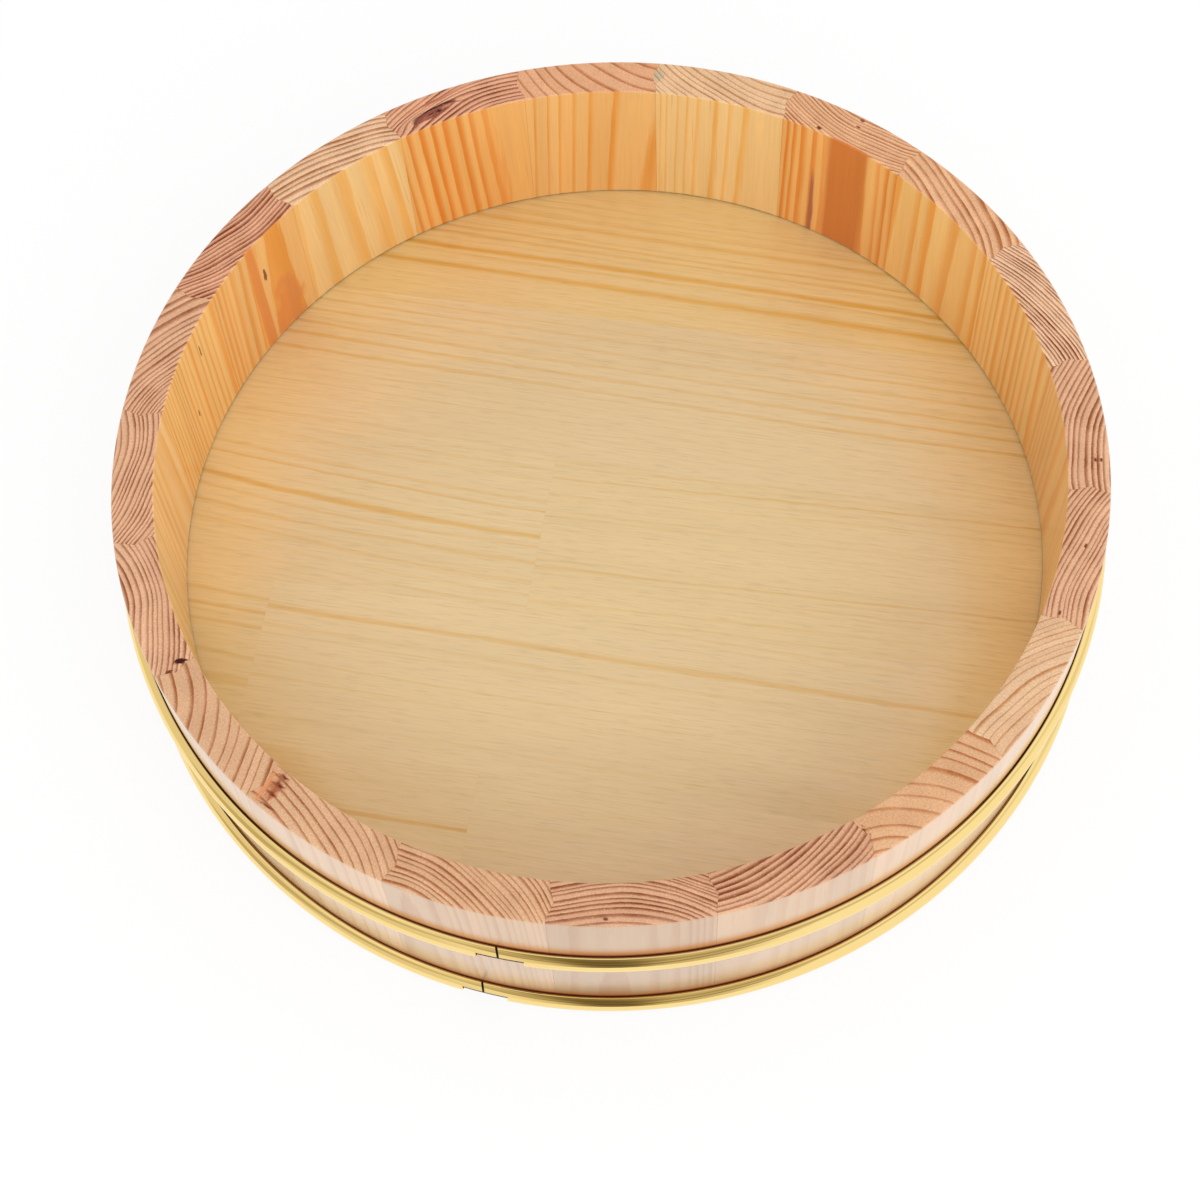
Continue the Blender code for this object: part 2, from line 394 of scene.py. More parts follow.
blemishes = {
    3: [
        mark(-1, 5.4, 0.9, 0.7, knot_brown),
        mark(-1.2, 2.1, 0.9, 0.5, knot_brown),
        mark(10.5, -5.6, 1.0, 0.8, speck_brown),
        mark(-3.1, -7, 9.6, 0.8, heart_orange, down=40, tall=300, ragged=0.1),
        mark(10.5, -7, 1.2, 0.8, knot_rust, down=52, tall=36, ragged=0.2),
    ],
    4: [mark(24.8, -0.6, 2.2, 3.4, stain_grey, rings=0.75)],
    6: [
        mark(7.5, 2.9, 13.5, 0.9, red_streak, turn=12, tall=40, ragged=0.3, soft=0.1),
        mark(8.8, -1.7, 9.3, 2.1, knot_black, turn=14, tall=9, ragged=0.1, soft=0.75, lift=2.6),
        mark(9.3, -2.3, 8.7, 1.9, knot_brown, turn=14, tall=9, ragged=0.15, soft=0.7),
        mark(3.6, -0.8, 2.8, 0.8, knot_pale, turn=14, tall=6, ragged=0.3, soft=0.4),
        mark(11.8, -3.2, 3.6, 0.8, knot_rust, turn=22, tall=6, ragged=0.3, soft=0.2),
        mark(7.1, -1.9, 1.2, 0.8, knot_black, tall=4, soft=0.4),
        mark(10.2, -2.4, 2.2, 0.4, knot_black, turn=24, tall=4, ragged=0.3, soft=0.2),
        mark(-0.6, -0.3, 3.4, 0.3, knot_brown, turn=-4, tall=4, soft=0.2),
        mark(-14.5, -7, 2.6, 0.9, streak_orange, down=54, tall=50, ragged=0.3, soft=0.1),
        mark(-20.0, -7, 1.2, 0.9, streak_orange, down=60, tall=40, ragged=0.3, soft=0.1),
    ],
    8: [
        mark(-11.6, -7, 8.4, 3, resin_orange, down=48, tall=19, ragged=0.3, soft=0.6),
        mark(-4.3, -7, 0.8, 1.4, speck_brown, down=20, tall=3.6),
        mark(0.3, -7, 2.6, 0.9, resin_orange, down=40, tall=90, ragged=0.2),
    ],
    9: [
        mark(-10.3, -7, 0.4, 1, speck_brown, down=13, tall=4),
        mark(1.8, -7, 0.4, 1, speck_brown, down=35, tall=2),
    ],
    11: [mark(23.2, -4.2, 1.0, 2.4, knot_black, turn=-15), mark(25.6, 0.2, 0.6, 1.4, speck_brown)],
    13: [
        mark(-22.6, -1.0, 1.8, 8.5, glue_orange, soft=0.2),
        mark(-19.6, -1.2, 2.4, 6.6, glue_rust, soft=0.2),
        mark(-18.2, 4.3, 4.2, 0.6, glue_brown, soft=0.1),
        mark(-19.2, 0.3, 2.4, 0.9, glue_brown, soft=0.1),
        mark(-19.0, -3.2, 2.8, 1.0, glue_brown, soft=0.1),
        mark(-19.4, -6.2, 2.6, 0.9, glue_brown, soft=0.1),
    ],
    15: [mark(-7.6, 4.4, 0.8, 0.6, speck_brown)],
    17: [mark(-24.0, -3.6, 1.6, 2.8, glue_brown, ragged=0.6, soft=0.2)],
    19: [mark(4.4, 0.4, 0.9, 0.5, speck_brown), mark(-21.5, -3.3, 0.9, 0.5, speck_brown)],
    20: [mark(-13.2, 3.5, 0.8, 0.5, speck_brown), mark(-13.0, 1.6, 0.8, 0.5, speck_brown)],
}

# Painted shade above each hoop, with how far up it reaches in mm, and in the corner round the bottom board
hoop_shade_reach = {"lower_hoop": 7.5, "upper_hoop": 10.0}
hoop_shadow_brown = (88, 30, 3)
hoop_shade_brown = (186, 100, 14)
floor_corner_shade = (112, 72, 26)


def stave_pine(name, number, timber, angle):
    """Varnished pine with the board's own growth rings: end grain at its ends, stripes on its faces."""
    finish = Finish(name)
    end_early, end_late = (srgb(*colour) for colour in timber["end"])
    side_early, side_late = (srgb(*colour) for colour in timber["side"])
    outer_early, outer_late = (srgb(*colour) for colour in outer_tones)
    texture = finish.add("TexCoord", {})
    middle = polar(wall_middle, angle, rim_height)
    place = finish.seen_from(texture.outputs["Object"], middle, (0, 0, angle), millimetre)
    split = finish.add("SeparateXYZ", {0: place})
    radius = finish.length(finish.vector("MULTIPLY", texture.outputs["Object"], (1, 1, 0)))
    left, out = timber["pith"]
    grain = finish.seen_from(place, (out, left, 0), timber["lean"])
    own_part = (0, 0, grain_apart * number)

    # Distance from the pith, wandering a little along and across the board and round its knots
    reach = math.hypot(left, out)
    flat = finish.vector("MULTIPLY", grain, (1, 1, 0))
    drawn_out = finish.vector("MULTIPLY_ADD", grain, (1, 1, 0.08), own_part)
    sway = finish.ramp(finish.noise(drawn_out, 0.05, 0), 0, 1, -1.0, 1.0)
    ripple = finish.ramp(finish.noise(drawn_out, 0.7, 1), 0, 1, -0.1, 0.1)
    distance = finish.sum("ADD", finish.length(flat), finish.sum("ADD", sway, ripple))
    spots = []
    for blemish in blemishes.get(number, []):
        spot = finish.seen_from(place, blemish["middle"], blemish["turn"], blemish["size"])
        spots.append((blemish, spot))
        if blemish["lift"]:
            above = finish.ramp(finish.add("SeparateXYZ", {0: spot}).outputs["X"], -1.6, 0.8)
            bulge = finish.ramp(finish.length(spot), 0.4, 2.4, blemish["lift"], 0.0)
            distance = finish.sum("SUBTRACT", distance, finish.sum("MULTIPLY", bulge, above))

    # Ring number, with rings of uneven width, and the late wood at the end of each with a sharp outer edge
    power = finish.sum("POWER", finish.sum("DIVIDE", distance, reach), timber["narrowing"])
    scale = reach / (timber["narrowing"] * timber["ring"])
    even = finish.sum("MULTIPLY_ADD", power, scale, timber["start"] + rings_apart * number)
    uneven = finish.add("TexNoise", {"W": even, "Scale": 0.4, "Detail": 0.0}, noise_dimensions="1D")
    ring = finish.sum("MULTIPLY_ADD", uneven.outputs["Fac"], 0.7, even)
    whole = finish.sum("FLOOR", ring)
    part = finish.sum("SUBTRACT", ring, whole)
    luck = finish.add("TexWhiteNoise", {"W": whole}, noise_dimensions="1D").outputs["Value"]
    tinge = finish.add("TexWhiteNoise", {"W": finish.sum("ADD", whole, 0.5)}, noise_dimensions="1D")
    share = finish.ramp(luck, 0, 1, 0.8 * timber["late"], 1.1 * timber["late"])
    depth = finish.sum("DIVIDE", finish.sum("SUBTRACT", 1.0, part), share)
    rise = finish.ramp(depth, 0.4, 1.7, 1.0, 0.0)
    fall = finish.ramp(part, 0.92, 1.0, 1.0, 0.0)
    cloud = finish.noise(drawn_out, 0.12, 2)
    strength = finish.ramp(luck, 0, 1, 0.75, 1.0)
    strength = finish.sum("MULTIPLY", strength, finish.ramp(cloud, 0.3, 0.7, 0.78, 1.05))
    late = finish.sum("MULTIPLY", finish.sum("MULTIPLY", rise, fall), strength)
    late = finish.sum("MAXIMUM", late, finish.ramp(tinge.outputs["Value"], 0, 1, 0.0, 0.16))

    # Side grain on the faces, paler outside with painted sheen, and end grain at the rim and the foot
    normal = finish.add("SeparateXYZ", {0: texture.outputs["Normal"]}).outputs["Z"]
    endness = finish.ramp(finish.sum("ABSOLUTE", normal), 0.45, 0.85)
    outside = finish.ramp(radius, wall_outside - 0.002, wall_outside - 0.001)
    inner = finish.mix(late, side_early, side_late)
    faint = finish.sum("MULTIPLY", late, timber["figure"])
    outer = finish.shade(finish.mix(faint, outer_early, outer_late), timber["outer"])
    end = finish.mix(late, end_early, end_late)
    wood = finish.mix(endness, finish.mix(outside, inner, outer), end)

    for blemish, spot in spots:
        edge = finish.ramp(finish.noise(spot, 1.6, 3), 0.25, 0.75, -blemish["ragged"], blemish["ragged"])
        cover = finish.ramp(finish.sum("ADD", finish.length(spot), edge), blemish["soft"], 1.1, 1.0, 0.0)
        if blemish["rings"]:
            cover = finish.sum("MULTIPLY", cover, finish.ramp(late, 0.0, 0.5, 1 - blemish["rings"], 1.0))
        wood = finish.mix(cover, wood, srgb(*blemish["colour"]))

    # Fibres, which end as fine pores, and slow changes of tone
    fibre_place = finish.vector("MULTIPLY_ADD", grain, (1, 1, 0.02), own_part)
    fibre = finish.noise(fibre_place, 1.6, 3, 0.65)
    low = finish.ramp(endness, 0, 1, 0.95, 0.83)
    high = finish.ramp(endness, 0, 1, 1.04, 1.15)
    tone = finish.ramp(fibre, 0.25, 0.75, low, high)
    tone = finish.sum("MULTIPLY", tone, finish.ramp(cloud, 0.2, 0.8, 1.06, 0.94))
    wood = finish.shade(wood, tone)

    # Resin canals: pale specks in the end grain and short brown dashes on the faces
    canal = finish.add("TexVoronoi", {"Vector": fibre_place, "Scale": 0.75}).outputs["Distance"]
    canal = finish.sum("MULTIPLY", finish.ramp(canal, 0.06, 0.16, 1.0, 0.0), 0.35)
    wood = finish.mix(canal, wood, finish.mix(endness, srgb(*canal_brown), srgb(*canal_pale)))

    # Painted shade above each hoop, with the varnish dulled there, and in the corner round the bottom board
    shaded_band = 0.0
    for hoop, shade_height in hoop_shade_reach.items():
        hoop_depth = (rim_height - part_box(hoop)[1].z) * 1000
        above = finish.sum("ABSOLUTE", finish.sum("ADD", split.outputs["Z"], hoop_depth))
        # Painted shade: a soft brown band and a dark brown line above the hoop
        shade_above_hoop = finish.sum("MULTIPLY", finish.ramp(above, 0.5, shade_height, 0.75, 0.0), outside)
        wood = finish.mix(shade_above_hoop, wood, srgb(*hoop_shade_brown))
        shadow_above_hoop = finish.sum("MULTIPLY", finish.ramp(above, 0.6, 2.2, 1.0, 0.0), outside)
        wood = finish.mix(shadow_above_hoop, wood, srgb(*hoop_shadow_brown))
        shaded_band = finish.sum("MAXIMUM", shaded_band, shadow_above_hoop)
    # Painted shade: a patchy dark line on the inner wall where it meets the bottom board
    above = finish.sum("ABSOLUTE", finish.sum("ADD", split.outputs["Z"], (rim_height - board_top) * 1000))
    patchy = finish.ramp(finish.noise(place, 0.35, 2), 0.35, 0.6, 0.3, 0.85)
    inside = finish.ramp(radius, wall_inside + 0.001, wall_inside + 0.002, 1.0, 0.0)
    corner = finish.sum("MULTIPLY", patchy, finish.ramp(above, 0.3, 0.7, 1.0, 0.0))
    corner = finish.sum("MULTIPLY", corner, inside)
    wood = finish.mix(corner, wood, srgb(*floor_corner_shade))

    # Where the painted shade above the hoops lies, the wood is rougher and its varnish dulled
    rough = finish.sum("MAXIMUM", finish.ramp(fibre, 0.2, 0.8, 0.34, 0.5), shaded_band)
    height = finish.sum("ADD", finish.sum("MULTIPLY", late, 0.6), finish.sum("MULTIPLY", fibre, 0.5))
    bump = finish.add(
        "Bump",
        {"Strength": finish.ramp(endness, 0, 1, 0.015, 0.12), "Distance": grain_relief, "Height": height},
    )
    finish.surface(
        {
            "Base Color": wood,
            "Roughness": rough,
            "Specular IOR Level": 0.15,
            "Coat Weight": finish.ramp(shaded_band, 0.0, 0.6, 1.0, 0.0),
            "Coat Roughness": varnish_roughness,
            "Coat IOR": varnish_ior,
            "Normal": bump.outputs["Normal"],
        }
    )
    return finish.material


for number, timber in boards.items():
    node = f"stave_{number:02d}"
    name = f"pine_{node}"
    start = first_joint + (number - 1) * stave_angle
    pine = stave_pine(name, number, timber, start + stave_angle / 2)
    stand_in_for(node, name, stave_mesh(name, start), pine)

# Bottom board
# A panel of five pine strips glued edge to edge, three of them two sticks joined end to end. It is
# planed, cut round and let into the groove in the staves, with its grain running a little aslant.
grain_angle = math.radians(-12.7)
strip_width = 0.0624
middle_strip = -0.0032
board_segments = 240
board_arris = 0.0004
stick_gap = 0.00001
board_radius = radii("bottom_back_inner")[1]
stick_lengths = {"middle": 0.1305, "front_inner": 0.026, "front_outer": 0.061}
along_grain = polar(1, grain_angle)
across_grain = polar(1, grain_angle + math.pi / 2)


def stick_mesh(name, sides):
    """The round board, cut back to one stick by planes given as an outward direction and a distance."""
    shape = bmesh.new()
    bmesh.ops.create_cone(
        shape,
        cap_ends=True,
        segments=board_segments,
        radius1=board_radius,
        radius2=board_radius,
        depth=board_top - board_foot,
        matrix=Matrix.Translation((0, 0, (board_foot + board_top) / 2)),
    )
    arris = [edge for edge in shape.edges if abs(edge.verts[0].co.z - edge.verts[1].co.z) < same_place]
    bmesh.ops.bevel(
        shape, geom=arris, offset=board_arris, segments=2, profile=0.5, affect="EDGES", material=-1
    )
    for outward, distance in sides:
        cut = bmesh.ops.bisect_plane(
            shape,
            geom=[*shape.verts, *shape.edges, *shape.faces],
            dist=same_place,
            plane_co=outward * (distance - stick_gap / 2),
            plane_no=outward,
            clear_outer=True,
        )
        edges = [part for part in cut["geom_cut"] if isinstance(part, bmesh.types.BMEdge)]
        bmesh.ops.contextual_create(shape, geom=edges)
    return finished_mesh(shape, name)


# The figure of each stick: the width of its growth lines in mm, how strongly they show, and how much of
# that is left in the panel's middle; the tone from straw to warm straw; the lines' course as mm of drift
# per 100 mm and of bow per 100 mm squared; and its bold lines, as mm across, half width and strength
figures = {
    "back_outer": dict(
        lines=4.4,
        show=0.68,
        centre=0.8,
        warm=0.38,
        drift=-4.3,
        bow=0.0,
        bold=[
            (132, 1.0, 0.4),
            (128.3, 1.2, 0.5),
            (121.2, 1.1, 0.5),
            (118.2, 1.0, 0.4),
            (112, 1.7, 1.0),
            (103, 1.7, 0.9),
        ],
    ),
    "back_inner": dict(
        lines=2.9,
        show=0.34,
        centre=0.6,
        warm=0.0,
        drift=-3.6,
        bow=0.0,
        bold=[
            (85, 0.9, 0.35),
            (80.5, 1.0, 0.4),
            (75, 1.0, 0.4),
            (68.8, 1.0, 0.45),
            (63.5, 1.1, 0.5),
            (57.5, 1.1, 0.5),
        ],
    ),
    "middle_left": dict(
        lines=3.8,
        show=0.35,
        centre=0.8,
        warm=0.06,
        drift=1.1,
        bow=4.8,
        bold=[
            (10, 0.8, 0.3),
            (5.5, 0.7, 0.5),
            (-4.2, 1.6, 0.7),
            (-9, 1.0, 0.3),
            (-15, 1.1, 0.4),
            (-22, 1.1, 0.3),
        ],
    ),
    "middle_right": dict(
        lines=2.6,
        show=0.36,
        centre=0.9,
        warm=0.15,
        drift=2.0,
        bow=0.0,
        bold=[(21, 0.5, 0.4), (-16, 0.8, 0.3)],
    ),
    "front_inner_left": dict(
        lines=4.5,
        show=0.4,
        centre=1.0,
        warm=0.15,
        drift=-6.0,
        bow=0.0,
        bold=[(-49.3, 1.0, 0.4), (-55.8, 1.2, 0.5), (-62, 1.1, 0.4)],
    ),
    "front_inner_right": dict(
        lines=4.2, show=0.35, centre=0.8, warm=0.05, drift=-2.9, bow=0.0, bold=[(-48.3, 1.5, 0.55)]
    ),
    "front_outer_left": dict(
        lines=4.6, show=0.4, centre=1.0, warm=0.1, drift=-2.0, bow=0.0, bold=[(-118.2, 1.3, 0.7)]
    ),
    "front_outer_right": dict(lines=4.4, show=0.4, centre=1.0, warm=0.05, drift=-2.0, bow=0.0, bold=[]),
}
straw = (224, 198, 152)
warm_straw = (224, 191, 118)
yellow_line = (214, 170, 82)
bold_line = (216, 164, 66)
wall_bounce_yellow = (246, 214, 138)
dash_brown = (196, 146, 84)
bottom_varnish_roughness = 0.2
lit_edge_turn = math.radians(-30)


def bottom_pine(name, number, figure):
    """Varnished pale pine, side grain: fine drawn-out growth lines with a few bold ones."""
    finish = Finish(name)
    texture = finish.add("TexCoord", {})
    middle = Vector((0, 0, board_top))
    place = finish.seen_from(texture.outputs["Object"], middle, (0, 0, grain_angle), millimetre)
    own_part = (0, 0, grain_apart * number)
    drawn_out = finish.vector("MULTIPLY_ADD", place, (0.12, 1, 1), own_part)

    # Place across the grain, as measured from the growth lines' bowed and wandering course
    split = finish.add("SeparateXYZ", {0: place})
    slope = finish.sum("MULTIPLY_ADD", split.outputs["X"], figure["bow"] / 100**2, figure["drift"] / 100)
    course = finish.sum("SUBTRACT", split.outputs["Y"], finish.sum("MULTIPLY", split.outputs["X"], slope))
    sway = finish.ramp(finish.noise(drawn_out, 0.06, 1), 0, 1, -1.4, 1.4)
    ripple = finish.ramp(finish.noise(drawn_out, 0.5, 2), 0, 1, -0.5, 0.5)
    course = finish.sum("ADD", course, finish.sum("ADD", sway, ripple))

    # Growth lines of uneven width and strength
    uneven = finish.add("TexNoise", {"W": course, "Scale": 0.11, "Detail": 1.0}, noise_dimensions="1D")
    ring = finish.sum("DIVIDE", course, figure["lines"])
    ring = finish.sum("MULTIPLY_ADD", uneven.outputs["Fac"], 2.0, ring)
    whole = finish.sum("FLOOR", ring)
    part = finish.sum("SUBTRACT", ring, whole)
    line = finish.sum("MULTIPLY", finish.ramp(part, 0.45, 0.88), finish.ramp(part, 0.9, 1.0, 1.0, 0.0))
    luck = finish.add("TexWhiteNoise", {"W": whole}, noise_dimensions="1D").outputs["Value"]
    patch = finish.ramp(finish.noise(drawn_out, 0.08, 2), 0.35, 0.65, 0.45, 1.0)
    ends = finish.ramp(finish.sum("ABSOLUTE", split.outputs["X"]), 20, 130, figure["centre"], 1.0)
    patch = finish.sum("MULTIPLY", patch, ends)
    line = finish.sum("MULTIPLY", line, finish.sum("MULTIPLY", finish.ramp(luck, 0, 1, 0.3, 1.0), patch))
    base = finish.mix(figure["warm"], srgb(*straw), srgb(*warm_straw))
    radius = finish.length(finish.vector("MULTIPLY", place, (1, 1, 0)))
    # Painted light: yellower towards the wall, for the light the walls throw onto the board
    base = finish.mix(finish.ramp(radius, 112, 150, 0.0, 0.38), base, srgb(*wall_bounce_yellow))
    wood = finish.mix(finish.sum("MULTIPLY", line, figure["show"]), base, srgb(*yellow_line))
    for at, width, strength in figure["bold"]:
        off = finish.sum("ABSOLUTE", finish.sum("SUBTRACT", course, at))
        cover = finish.ramp(off, 0.15 * width, width, strength, 0.0)
        wood = finish.mix(finish.sum("MULTIPLY", cover, ends), wood, srgb(*bold_line))

    # Fibres, short pores and slow changes of tone
    fibre_place = finish.vector("MULTIPLY_ADD", place, (0.02, 1, 1), own_part)
    fibre = finish.noise(fibre_place, 2.0, 3, 0.65)
    cloud = finish.noise(drawn_out, 0.05, 3)
    pore = finish.noise(finish.vector("MULTIPLY_ADD", place, (0.07, 1, 1), own_part), 1.5, 2)
    tone = finish.ramp(fibre, 0.25, 0.75, 0.96, 1.04)
    tone = finish.sum("MULTIPLY", tone, finish.ramp(cloud, 0.2, 0.8, 0.97, 1.03))
    tone = finish.sum("MULTIPLY", tone, finish.ramp(pore, 0.5, 0.7, 1.02, 0.93))
    # Painted light: the board lighter towards its right front edge
    turned = finish.seen_from(texture.outputs["Object"], (0, 0, 0), (0, 0, lit_edge_turn), millimetre)
    lit_side = finish.add("SeparateXYZ", {0: turned}).outputs["X"]
    tone = finish.sum("MULTIPLY", tone, finish.ramp(lit_side, 100, 150, 1.0, 1.18))
    wood = finish.shade(wood, tone)
    dash = finish.add("TexVoronoi", {"Vector": fibre_place, "Scale": 0.35}).outputs["Distance"]
    wood = finish.mix(finish.ramp(dash, 0.03, 0.09, 0.3, 0.0), wood, srgb(*dash_brown))

    height = finish.sum("ADD", finish.sum("MULTIPLY", line, 0.4), finish.sum("MULTIPLY", fibre, 0.5))
    bump = finish.add("Bump", {"Strength": 0.1, "Distance": grain_relief, "Height": height})
    finish.surface(
        {
            "Base Color": wood,
            "Roughness": finish.ramp(fibre, 0.2, 0.8, 0.36, 0.5),
            "Coat Weight": 1.0,
            "Coat Roughness": bottom_varnish_roughness,
            "Coat IOR": varnish_ior,
            "Normal": bump.outputs["Normal"],
        }
    )
    return finish.material


upper_line = middle_strip + strip_width / 2
glue_lines = {
    "front_outer": (None, upper_line - 2 * strip_width),
    "front_inner": (upper_line - 2 * strip_width, upper_line - strip_width),
    "middle": (upper_line - strip_width, upper_line),
    "back_inner": (upper_line, upper_line + strip_width),
    "back_outer": (upper_line + strip_width, None),
}
stick_number = 0
for strip, (near, far) in glue_lines.items():
    sides = []
    if near is not None:
        sides.append((-across_grain, -near))
    if far is not None:
        sides.append((across_grain, far))
    sticks = {strip: sides}
    if strip in stick_lengths:
        edges = [-board_radius if near is None else near, board_radius if far is None else far]
        joint = stick_lengths[strip] - math.sqrt(board_radius**2 - (sum(edges) / 2) ** 2)
        sticks = {
            f"{strip}_left": [*sides, (along_grain, joint)],
            f"{strip}_right": [*sides, (-along_grain, -joint)],
        }
    for stick, planes in sticks.items():
        stick_number += 1
        name = f"pine_bottom_{stick}"
        pine = bottom_pine(name, stick_number, figures[stick])
        stand_in_for(f"bottom_{stick}", name, stick_mesh(name, planes), pine)

# Splice bars
# A short half-round bar of dark steel lies inside each hoop behind its seam, so that the two ends meet
# on one line. Only a sliver of it shows, in the seam and in the notch below it.
hoop_sheet = 0.0006
hoop_lip = 0.0013
splice_clearance = 0.0003
splice_length = 0.030
splice_steps = 12
half_round_steps = 28
hoop_low, hoop_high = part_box("upper_hoop")
hoop_inside = wall_outside + hairline
hoop_outside = hoop_high.x
hoop_projection = hoop_outside - hoop_inside
hoop_height = hoop_high.z - hoop_low.z
seams = {"upper_hoop": math.radians(254.0), "lower_hoop": math.radians(251.3)}
steel_dark = (0.02, 0.018, 0.016, 1)
steel_pale = (0.06, 0.055, 0.05, 1)


def half_round(radius, projection, height):
    """Points down a half-round face, from its top to its bottom."""
    points = []
    for step in range(half_round_steps + 1):
        turn = math.pi / 2 - math.pi * step / half_round_steps
        points.append((radius + projection * math.cos(turn), height / 2 * math.sin(turn)))
    return points


def swept(section, level, start, angle, steps):
    """A bar with the section of (radius, height) points, swept round the tub from a start angle."""
    shape = bmesh.new()
    shape.faces.new([shape.verts.new((radius, 0, level + height)) for radius, height in section])
    bmesh.ops.rotate(shape, verts=shape.verts, cent=(0, 0, 0), matrix=Matrix.Rotation(start, 3, "Z"))
    bmesh.ops.spin(shape, geom=shape.faces[:], axis=(0, 0, 1), angle=angle, steps=steps)
    return shape


def dark_steel(name):
    """Plain steel, near black, with fine draw lines along it."""
    finish = Finish(name)
    place = finish.add("TexCoord", {}).outputs["Object"]
    lines = finish.noise(finish.vector("MULTIPLY", place, (60, 60, 4000)), 1.0, 3)
    finish.surface(
        {
            "Base Color": finish.mix(lines, steel_dark, steel_pale),
            "Metallic": 1.0,
            "Roughness": finish.ramp(lines, 0.2, 0.8, 0.35, 0.55),
        }
    )
    return finish.material


def level_of(node):
    low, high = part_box(node)
    return (low.z + high.z) / 2


steel = dark_steel("splice_steel")
for hoop, seam in seams.items():
    room = hoop_sheet + splice_clearance
    bar_height = hoop_height - 2 * hoop_lip - splice_clearance
    section = half_round(hoop_inside + hairline, hoop_projection - hairline - room, bar_height)
    angle = splice_length / hoop_inside
    bar = swept(section, level_of(hoop), seam - angle / 2, angle, splice_steps)
    name = f"steel_{hoop}_bar"
    stand_in_for(f"{hoop}_splice", name, finished_mesh(bar, name), steel)

# Hoops
# Two bands of thin metal sheet, rolled to a hollow half-round, bent round the wall and driven on tight.
# They are plated a bright gold; the ends butt together, with the lower part cut away beside the seam.
seam_gap = 0.0008
seam_slant = 0.0015
notch_left = 0.006
notch_right = 0.0095
notch_top = 0.0054
hoop_steps = 240
notch_steps = 6
gold_deep = (0.96, 0.7, 0.26, 1)
gold_bright = (0.985, 0.765, 0.34, 1)
hoop_contact_shade = (0.16, 0.045, 0.006, 1)
corner_start = 0.0001
corner_end = 0.0009
draw_line_relief = 0.0001


def hoop_section():
    """The open C of the rolled sheet about the hoop's middle height."""
    lip = hoop_height / 2 - hoop_lip
    section = half_round(hoop_inside, hoop_projection, hoop_height)
    section += [(hoop_inside, -lip), (hoop_inside + hoop_sheet, -lip)]
    sheets = 2 * hoop_sheet
    inner = half_round(hoop_inside + hoop_sheet, hoop_projection - sheets, hoop_height - sheets)
    section += inner[::-1]
    section += [(hoop_inside + hoop_sheet, lip), (hoop_inside, lip)]
    return section


def hoop_mesh(name, level, seam):
    """The full band up to the notch, then its upper part alone on to the slanting seam at both ends."""
    left_angle, right_angle, gap_angle = (
        length / hoop_outside for length in (notch_left, notch_right, seam_gap / 2)
    )
    start = seam + right_angle
    sweep = 2 * math.pi - left_angle - right_angle
    shape = swept(hoop_section(), level, start, sweep, hoop_steps)
    cut_height = level - hoop_height / 2 + notch_top
    for end, turn in ((start, gap_angle - right_angle), (start + sweep, left_angle - gap_angle)):
        across = polar(1, end + math.pi / 2)
        level_faces = [
            face for face in shape.faces if all(abs(v.co.dot(across)) < same_place for v in face.verts)
        ]
        faces = [face for face in level_faces if face.calc_center_median().dot(polar(1, end)) > 0]
        corners = {corner for face in faces for corner in face.verts}
        edges = {edge for face in faces for edge in face.edges}
        cut = bmesh.ops.bisect_plane(
            shape,
            geom=[*corners, *edges, *faces],
            dist=same_place,
            plane_co=(0, 0, cut_height),
            plane_no=(0, 0, 1),
        )
        halves = [part for part in cut["geom"] if isinstance(part, bmesh.types.BMFace)]
        upper = max(halves, key=lambda face: face.calc_center_median().z)
        grown = bmesh.ops.spin(shape, geom=[upper], axis=(0, 0, 1), angle=turn, steps=notch_steps)
        bmesh.ops.delete(shape, geom=[upper], context="FACES_ONLY")
        for corner in [part for part in grown["geom_last"] if isinstance(part, bmesh.types.BMVert)]:
            out_share = (corner.co.xy.length - hoop_inside) / hoop_projection
            corner.co = Matrix.Rotation(out_share * seam_slant / hoop_outside, 3, "Z") @ corner.co
    return finished_mesh(shape, name)


def gold_plate(name):
    """Polished plate with faint draw lines round the band, and painted shade in the corner against the wall.
    """
    finish = Finish(name)
    place = finish.add("TexCoord", {}).outputs["Object"]
    lines = finish.noise(finish.vector("MULTIPLY", place, (12, 12, 2600)), 1.0, 3)
    cloud = finish.noise(place, 45, 3)
    plate = finish.mix(cloud, gold_deep, gold_bright)
    radius = finish.length(finish.vector("MULTIPLY", place, (1, 1, 0)))
    # Painted shade: dark brown where the band's top meets the wall
    corner = finish.ramp(radius, hoop_inside + corner_start, hoop_inside + corner_end, 0.88, 0.0)
    bump = finish.add("Bump", {"Strength": 0.05, "Distance": draw_line_relief, "Height": lines})
    finish.surface(
        {
            "Base Color": finish.mix(corner, plate, hoop_contact_shade),
            "Metallic": 1.0,
            "Roughness": finish.ramp(cloud, 0.3, 0.7, 0.04, 0.08),
            "Normal": bump.outputs["Normal"],
        }
    )
    return finish.material


gold = gold_plate("hoop_gold")
for hoop, seam in seams.items():
    name = f"gold_{hoop}"
    stand_in_for(hoop, name, hoop_mesh(name, level_of(hoop), seam), gold)

# Studio
# A wide white floor that keeps the tub's soft shadow, one broad lamp in front, and a white surround, which
# is shaded where the level wood and the polished hoops would mirror it. The camera stands as in the picture.
floor_size = 8.0
floor_glow = 0.85
surround_level = 0.9
mirror_patch = 0.04
side_shade = 0.8
front_shade = 0.6
middle_shade = 0.35
mirror_band = 0.7
mirror_line = 0.55
shade_tint = (1.0, 0.78, 0.38, 1)
lamp_place = Vector((0.5, -1.45, 1.5))
lamp_size = 1.8
lamp_power = 17.0


